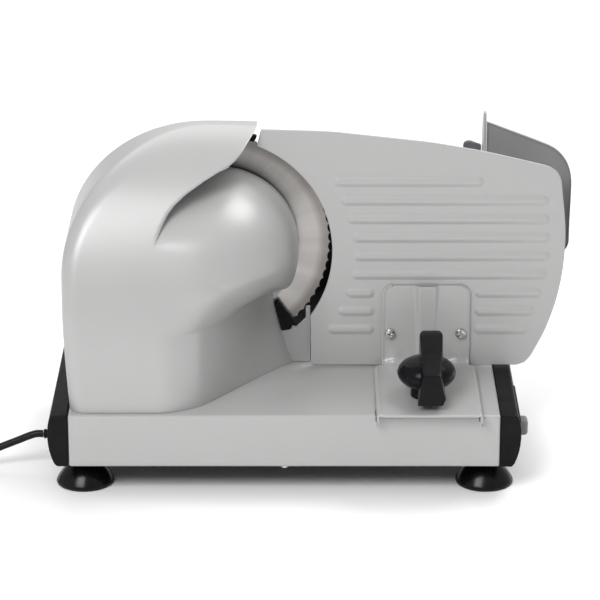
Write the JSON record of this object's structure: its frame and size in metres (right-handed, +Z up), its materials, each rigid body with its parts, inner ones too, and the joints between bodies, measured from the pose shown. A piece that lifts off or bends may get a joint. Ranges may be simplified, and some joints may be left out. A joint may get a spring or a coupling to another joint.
{
  "type": "meat slicer",
  "caption": "Domestic electric food slicer: serrated disc blade under a rounded painted housing, sliding food carriage, ribbed thickness plate with lock knob, sucker feet and mains cord.",
  "frame": {"origin": "on the worktop, under the middle of the slicer's bounding box without its free cord", "axes": "+Z up; -Y towards the side where slices come off; +X from the housing towards the switch"},
  "size_m": [0.6366, 0.263, 0.292],
  "materials": {
    "silver_paint": "fine silver-grey hammer-free paint, semi-gloss",
    "black_plastic": "moulded, lightly textured",
    "black_rubber": "soft matt rubber",
    "brushed_steel": "circular brushed stainless steel",
    "zinc_plated": "bright zinc plating",
    "copper_winding": "enamelled copper wire",
    "laminated_iron": "dark pressed iron",
    "white_nylon": "off-white nylon",
    "sintered_bronze": "porous bronze",
    "smoky_clear_plastic": "slightly smoky clear plastic",
    "grey_plastic": "smooth grey plastic"
  },
  "bodies": {
    "base": {"base_shell": "silver_paint", "blade_guard": "black_plastic", "bottom_plate": "black_plastic", "bottom_screw_front": "zinc_plated", "bottom_screw_rear": "zinc_plated", "carriage_rail": "brushed_steel", "cord_coil": "black_plastic", "cord_tail": "black_plastic", "foot_front_left": "black_rubber", "foot_front_right": "black_rubber", "foot_rear_left": "black_rubber", "foot_rear_right": "black_rubber", "front_bush": "sintered_bronze", "gearbox_bracket": "laminated_iron", "gearbox_plate": "silver_paint", "left_end_cap": "black_plastic", "lock_nut": "zinc_plated", "motor_end_left": "zinc_plated", "motor_end_right": "zinc_plated", "motor_frame": "laminated_iron", "motor_housing": "silver_paint", "motor_stator": "copper_winding", "plug": "black_plastic", "plug_pin_left": "zinc_plated", "plug_pin_right": "zinc_plated", "power_cord": "black_plastic", "rail_mount_left": "black_plastic", "rail_mount_right": "black_plastic", "rear_bush": "sintered_bronze", "right_end_cap": "black_plastic", "strain_relief": "black_plastic", "switch_body": "black_plastic", "worm_bearing": "laminated_iron"},
    "blade_unit": {"blade": "brushed_steel", "blade_shaft": "brushed_steel", "blade_lock_cap": "black_plastic", "drive_gear": "white_nylon"},
    "motor_rotor": {"motor_shaft": "brushed_steel", "motor_armature": "laminated_iron", "cooling_fan": "black_plastic"},
    "guide": {"guide_plate": "silver_paint", "guide_bracket": "silver_paint", "bracket_screw_left": "zinc_plated", "bracket_screw_right": "zinc_plated"},
    "knob": {"lock_knob": "black_plastic", "lock_bolt": "zinc_plated"},
    "carriage": {"carriage_slider": "black_plastic", "carriage_table": "black_plastic", "carriage_fence": "silver_paint", "hand_guard": "silver_paint", "pusher_rod": "brushed_steel"},
    "pusher": {"food_pusher": "smoky_clear_plastic", "pusher_handle": "black_plastic"},
    "button": {"power_button": "grey_plastic"}
  },
  "joints": [
    {"name": "blade_spin", "type": "hinge", "parent": "base", "child": "blade_unit", "pos_m": [-0.0835, 0.0115, 0.181], "axis": [0, 1, 0], "continuous": true},
    {"name": "motor_spin", "type": "hinge", "parent": "base", "child": "motor_rotor", "pos_m": [-0.1255, -0.0305, 0.134], "axis": [1, 0, 0], "continuous": true},
    {"name": "guide_slide", "type": "slide", "parent": "base", "child": "guide", "axis": [0, 1, 0], "range_m": [0, 0.0155]},
    {"name": "knob_turn", "type": "hinge", "parent": "base", "child": "knob", "pos_m": [0.0953, -0.0865, 0.076], "axis": [0, 0, 1], "range_deg": [0, 180]},
    {"name": "carriage_slide", "type": "slide", "parent": "base", "child": "carriage", "axis": [-1, 0, 0], "range_m": [0, 0.19]},
    {"name": "pusher_slide", "type": "slide", "parent": "carriage", "child": "pusher", "axis": [0, -1, 0], "range_m": [-0.038, 0.018]},
    {"name": "button_press", "type": "slide", "parent": "base", "child": "button", "axis": [-1, 0, 0], "range_m": [0, 0.0025], "stiffness_N_per_m": 500}
  ],
  "couplings": [
    {"joint": "motor_spin", "follows": "blade_spin", "ratio": 40}
  ]
}
